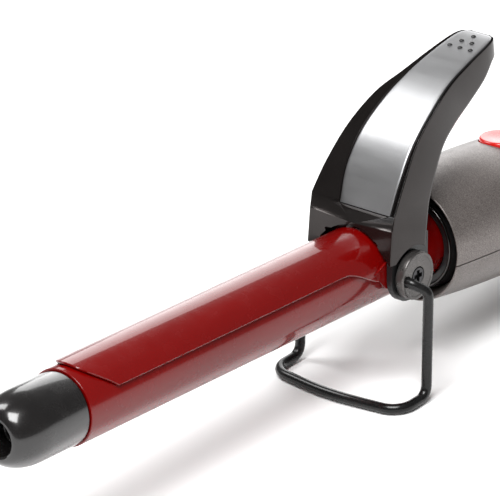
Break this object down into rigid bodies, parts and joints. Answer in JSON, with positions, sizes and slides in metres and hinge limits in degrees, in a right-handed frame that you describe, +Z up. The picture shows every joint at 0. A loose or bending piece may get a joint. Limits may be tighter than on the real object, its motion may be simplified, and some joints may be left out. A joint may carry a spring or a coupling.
{
  "type": "curling iron",
  "caption": "Curling iron on its fold-away wire stand: red heated barrel, spring clamp with a tall thumb lever, dark cool tip and grey moulded handle with a lit button.",
  "frame": {"origin": "on the table under the middle of the iron's length, with the iron resting on its stand and on the flat under its handle's tail", "axes": "+X from the cool tip to the handle's tail, +Z up, +Y across, along the pivot axis"},
  "size_m": [0.2888, 0.0426, 0.075],
  "materials": {
    "red_coating": "gloss",
    "dark_gloss": "gloss",
    "lever_chrome": "gloss",
    "lever_mirror": "polished",
    "black_plastic": "satin",
    "coated_wire": "gloss",
    "handle_grey": "satin",
    "bright_trim": "polished",
    "dark_steel": "satin",
    "steel": "satin",
    "aluminium": "satin",
    "ceramic": "matte",
    "board_green": "satin",
    "red_lens": "gloss",
    "brass": "satin",
    "glass_bead": "gloss",
    "lead_sleeve": "matte"
  },
  "bodies": {
    "body": {"barrel_tube": "red_coating", "cool_tip": "dark_gloss", "heater_core": "ceramic", "heater_block_upper": "aluminium", "heater_block_lower": "aluminium", "front_insulator": "ceramic", "rear_insulator": "ceramic", "thermal_fuse": "steel", "temperature_sensor": "glass_bead", "heater_lead_live": "lead_sleeve", "heater_lead_neutral": "lead_sleeve", "pivot_block": "steel", "pivot_screw_left": "dark_steel", "pivot_screw_right": "dark_steel", "barrel_collar": "black_plastic", "collar_ring": "bright_trim", "handle_upper_shell": "handle_grey", "handle_lower_shell": "handle_grey", "handle_screw_1": "dark_steel", "handle_screw_2": "dark_steel", "control_board": "board_green", "tact_switch": "black_plastic", "triac": "black_plastic", "control_chip": "black_plastic", "capacitor": "aluminium", "indicator_led": "red_lens", "contact_brush_live": "brass", "contact_brush_neutral": "brass"},
    "lever": {"lever_shell": "lever_chrome", "lever_top_plate": "lever_mirror", "lever_liner_left": "black_plastic", "lever_liner_right": "black_plastic", "clamp_plate": "red_coating", "lever_spring": "steel"},
    "stand": {"stand_wire": "coated_wire", "pivot_cap_left": "black_plastic", "pivot_cap_right": "black_plastic"},
    "button": {"power_button": "red_lens"},
    "gland": {"cord_gland": "black_plastic", "slip_ring_live": "brass", "slip_ring_neutral": "brass"}
  },
  "joints": [
    {"name": "lever_hinge", "type": "hinge", "parent": "body", "child": "lever", "pos_m": [-0.00997, 0, 0.03055], "axis": [0, 1, 0], "range_deg": [0, 25], "stiffness_Nm_per_rad": 0.25, "springref_deg": -34.38, "deforming": ["lever_spring"]},
    {"name": "stand_fold", "type": "hinge", "parent": "body", "child": "stand", "pos_m": [-0.00997, 0, 0.03055], "axis": [0, -1, 0], "range_deg": [0, 76]},
    {"name": "button_press", "type": "slide", "parent": "body", "child": "button", "axis": [-0.0692, 0, -0.9976], "range_m": [0, 0.0008], "stiffness_N_per_m": 900, "springref_m": -0.0008},
    {"name": "gland_swivel", "type": "hinge", "parent": "body", "child": "gland", "pos_m": [0.14004, 0, 0.01112], "axis": [0.9976, 0, -0.0692], "continuous": true}
  ]
}
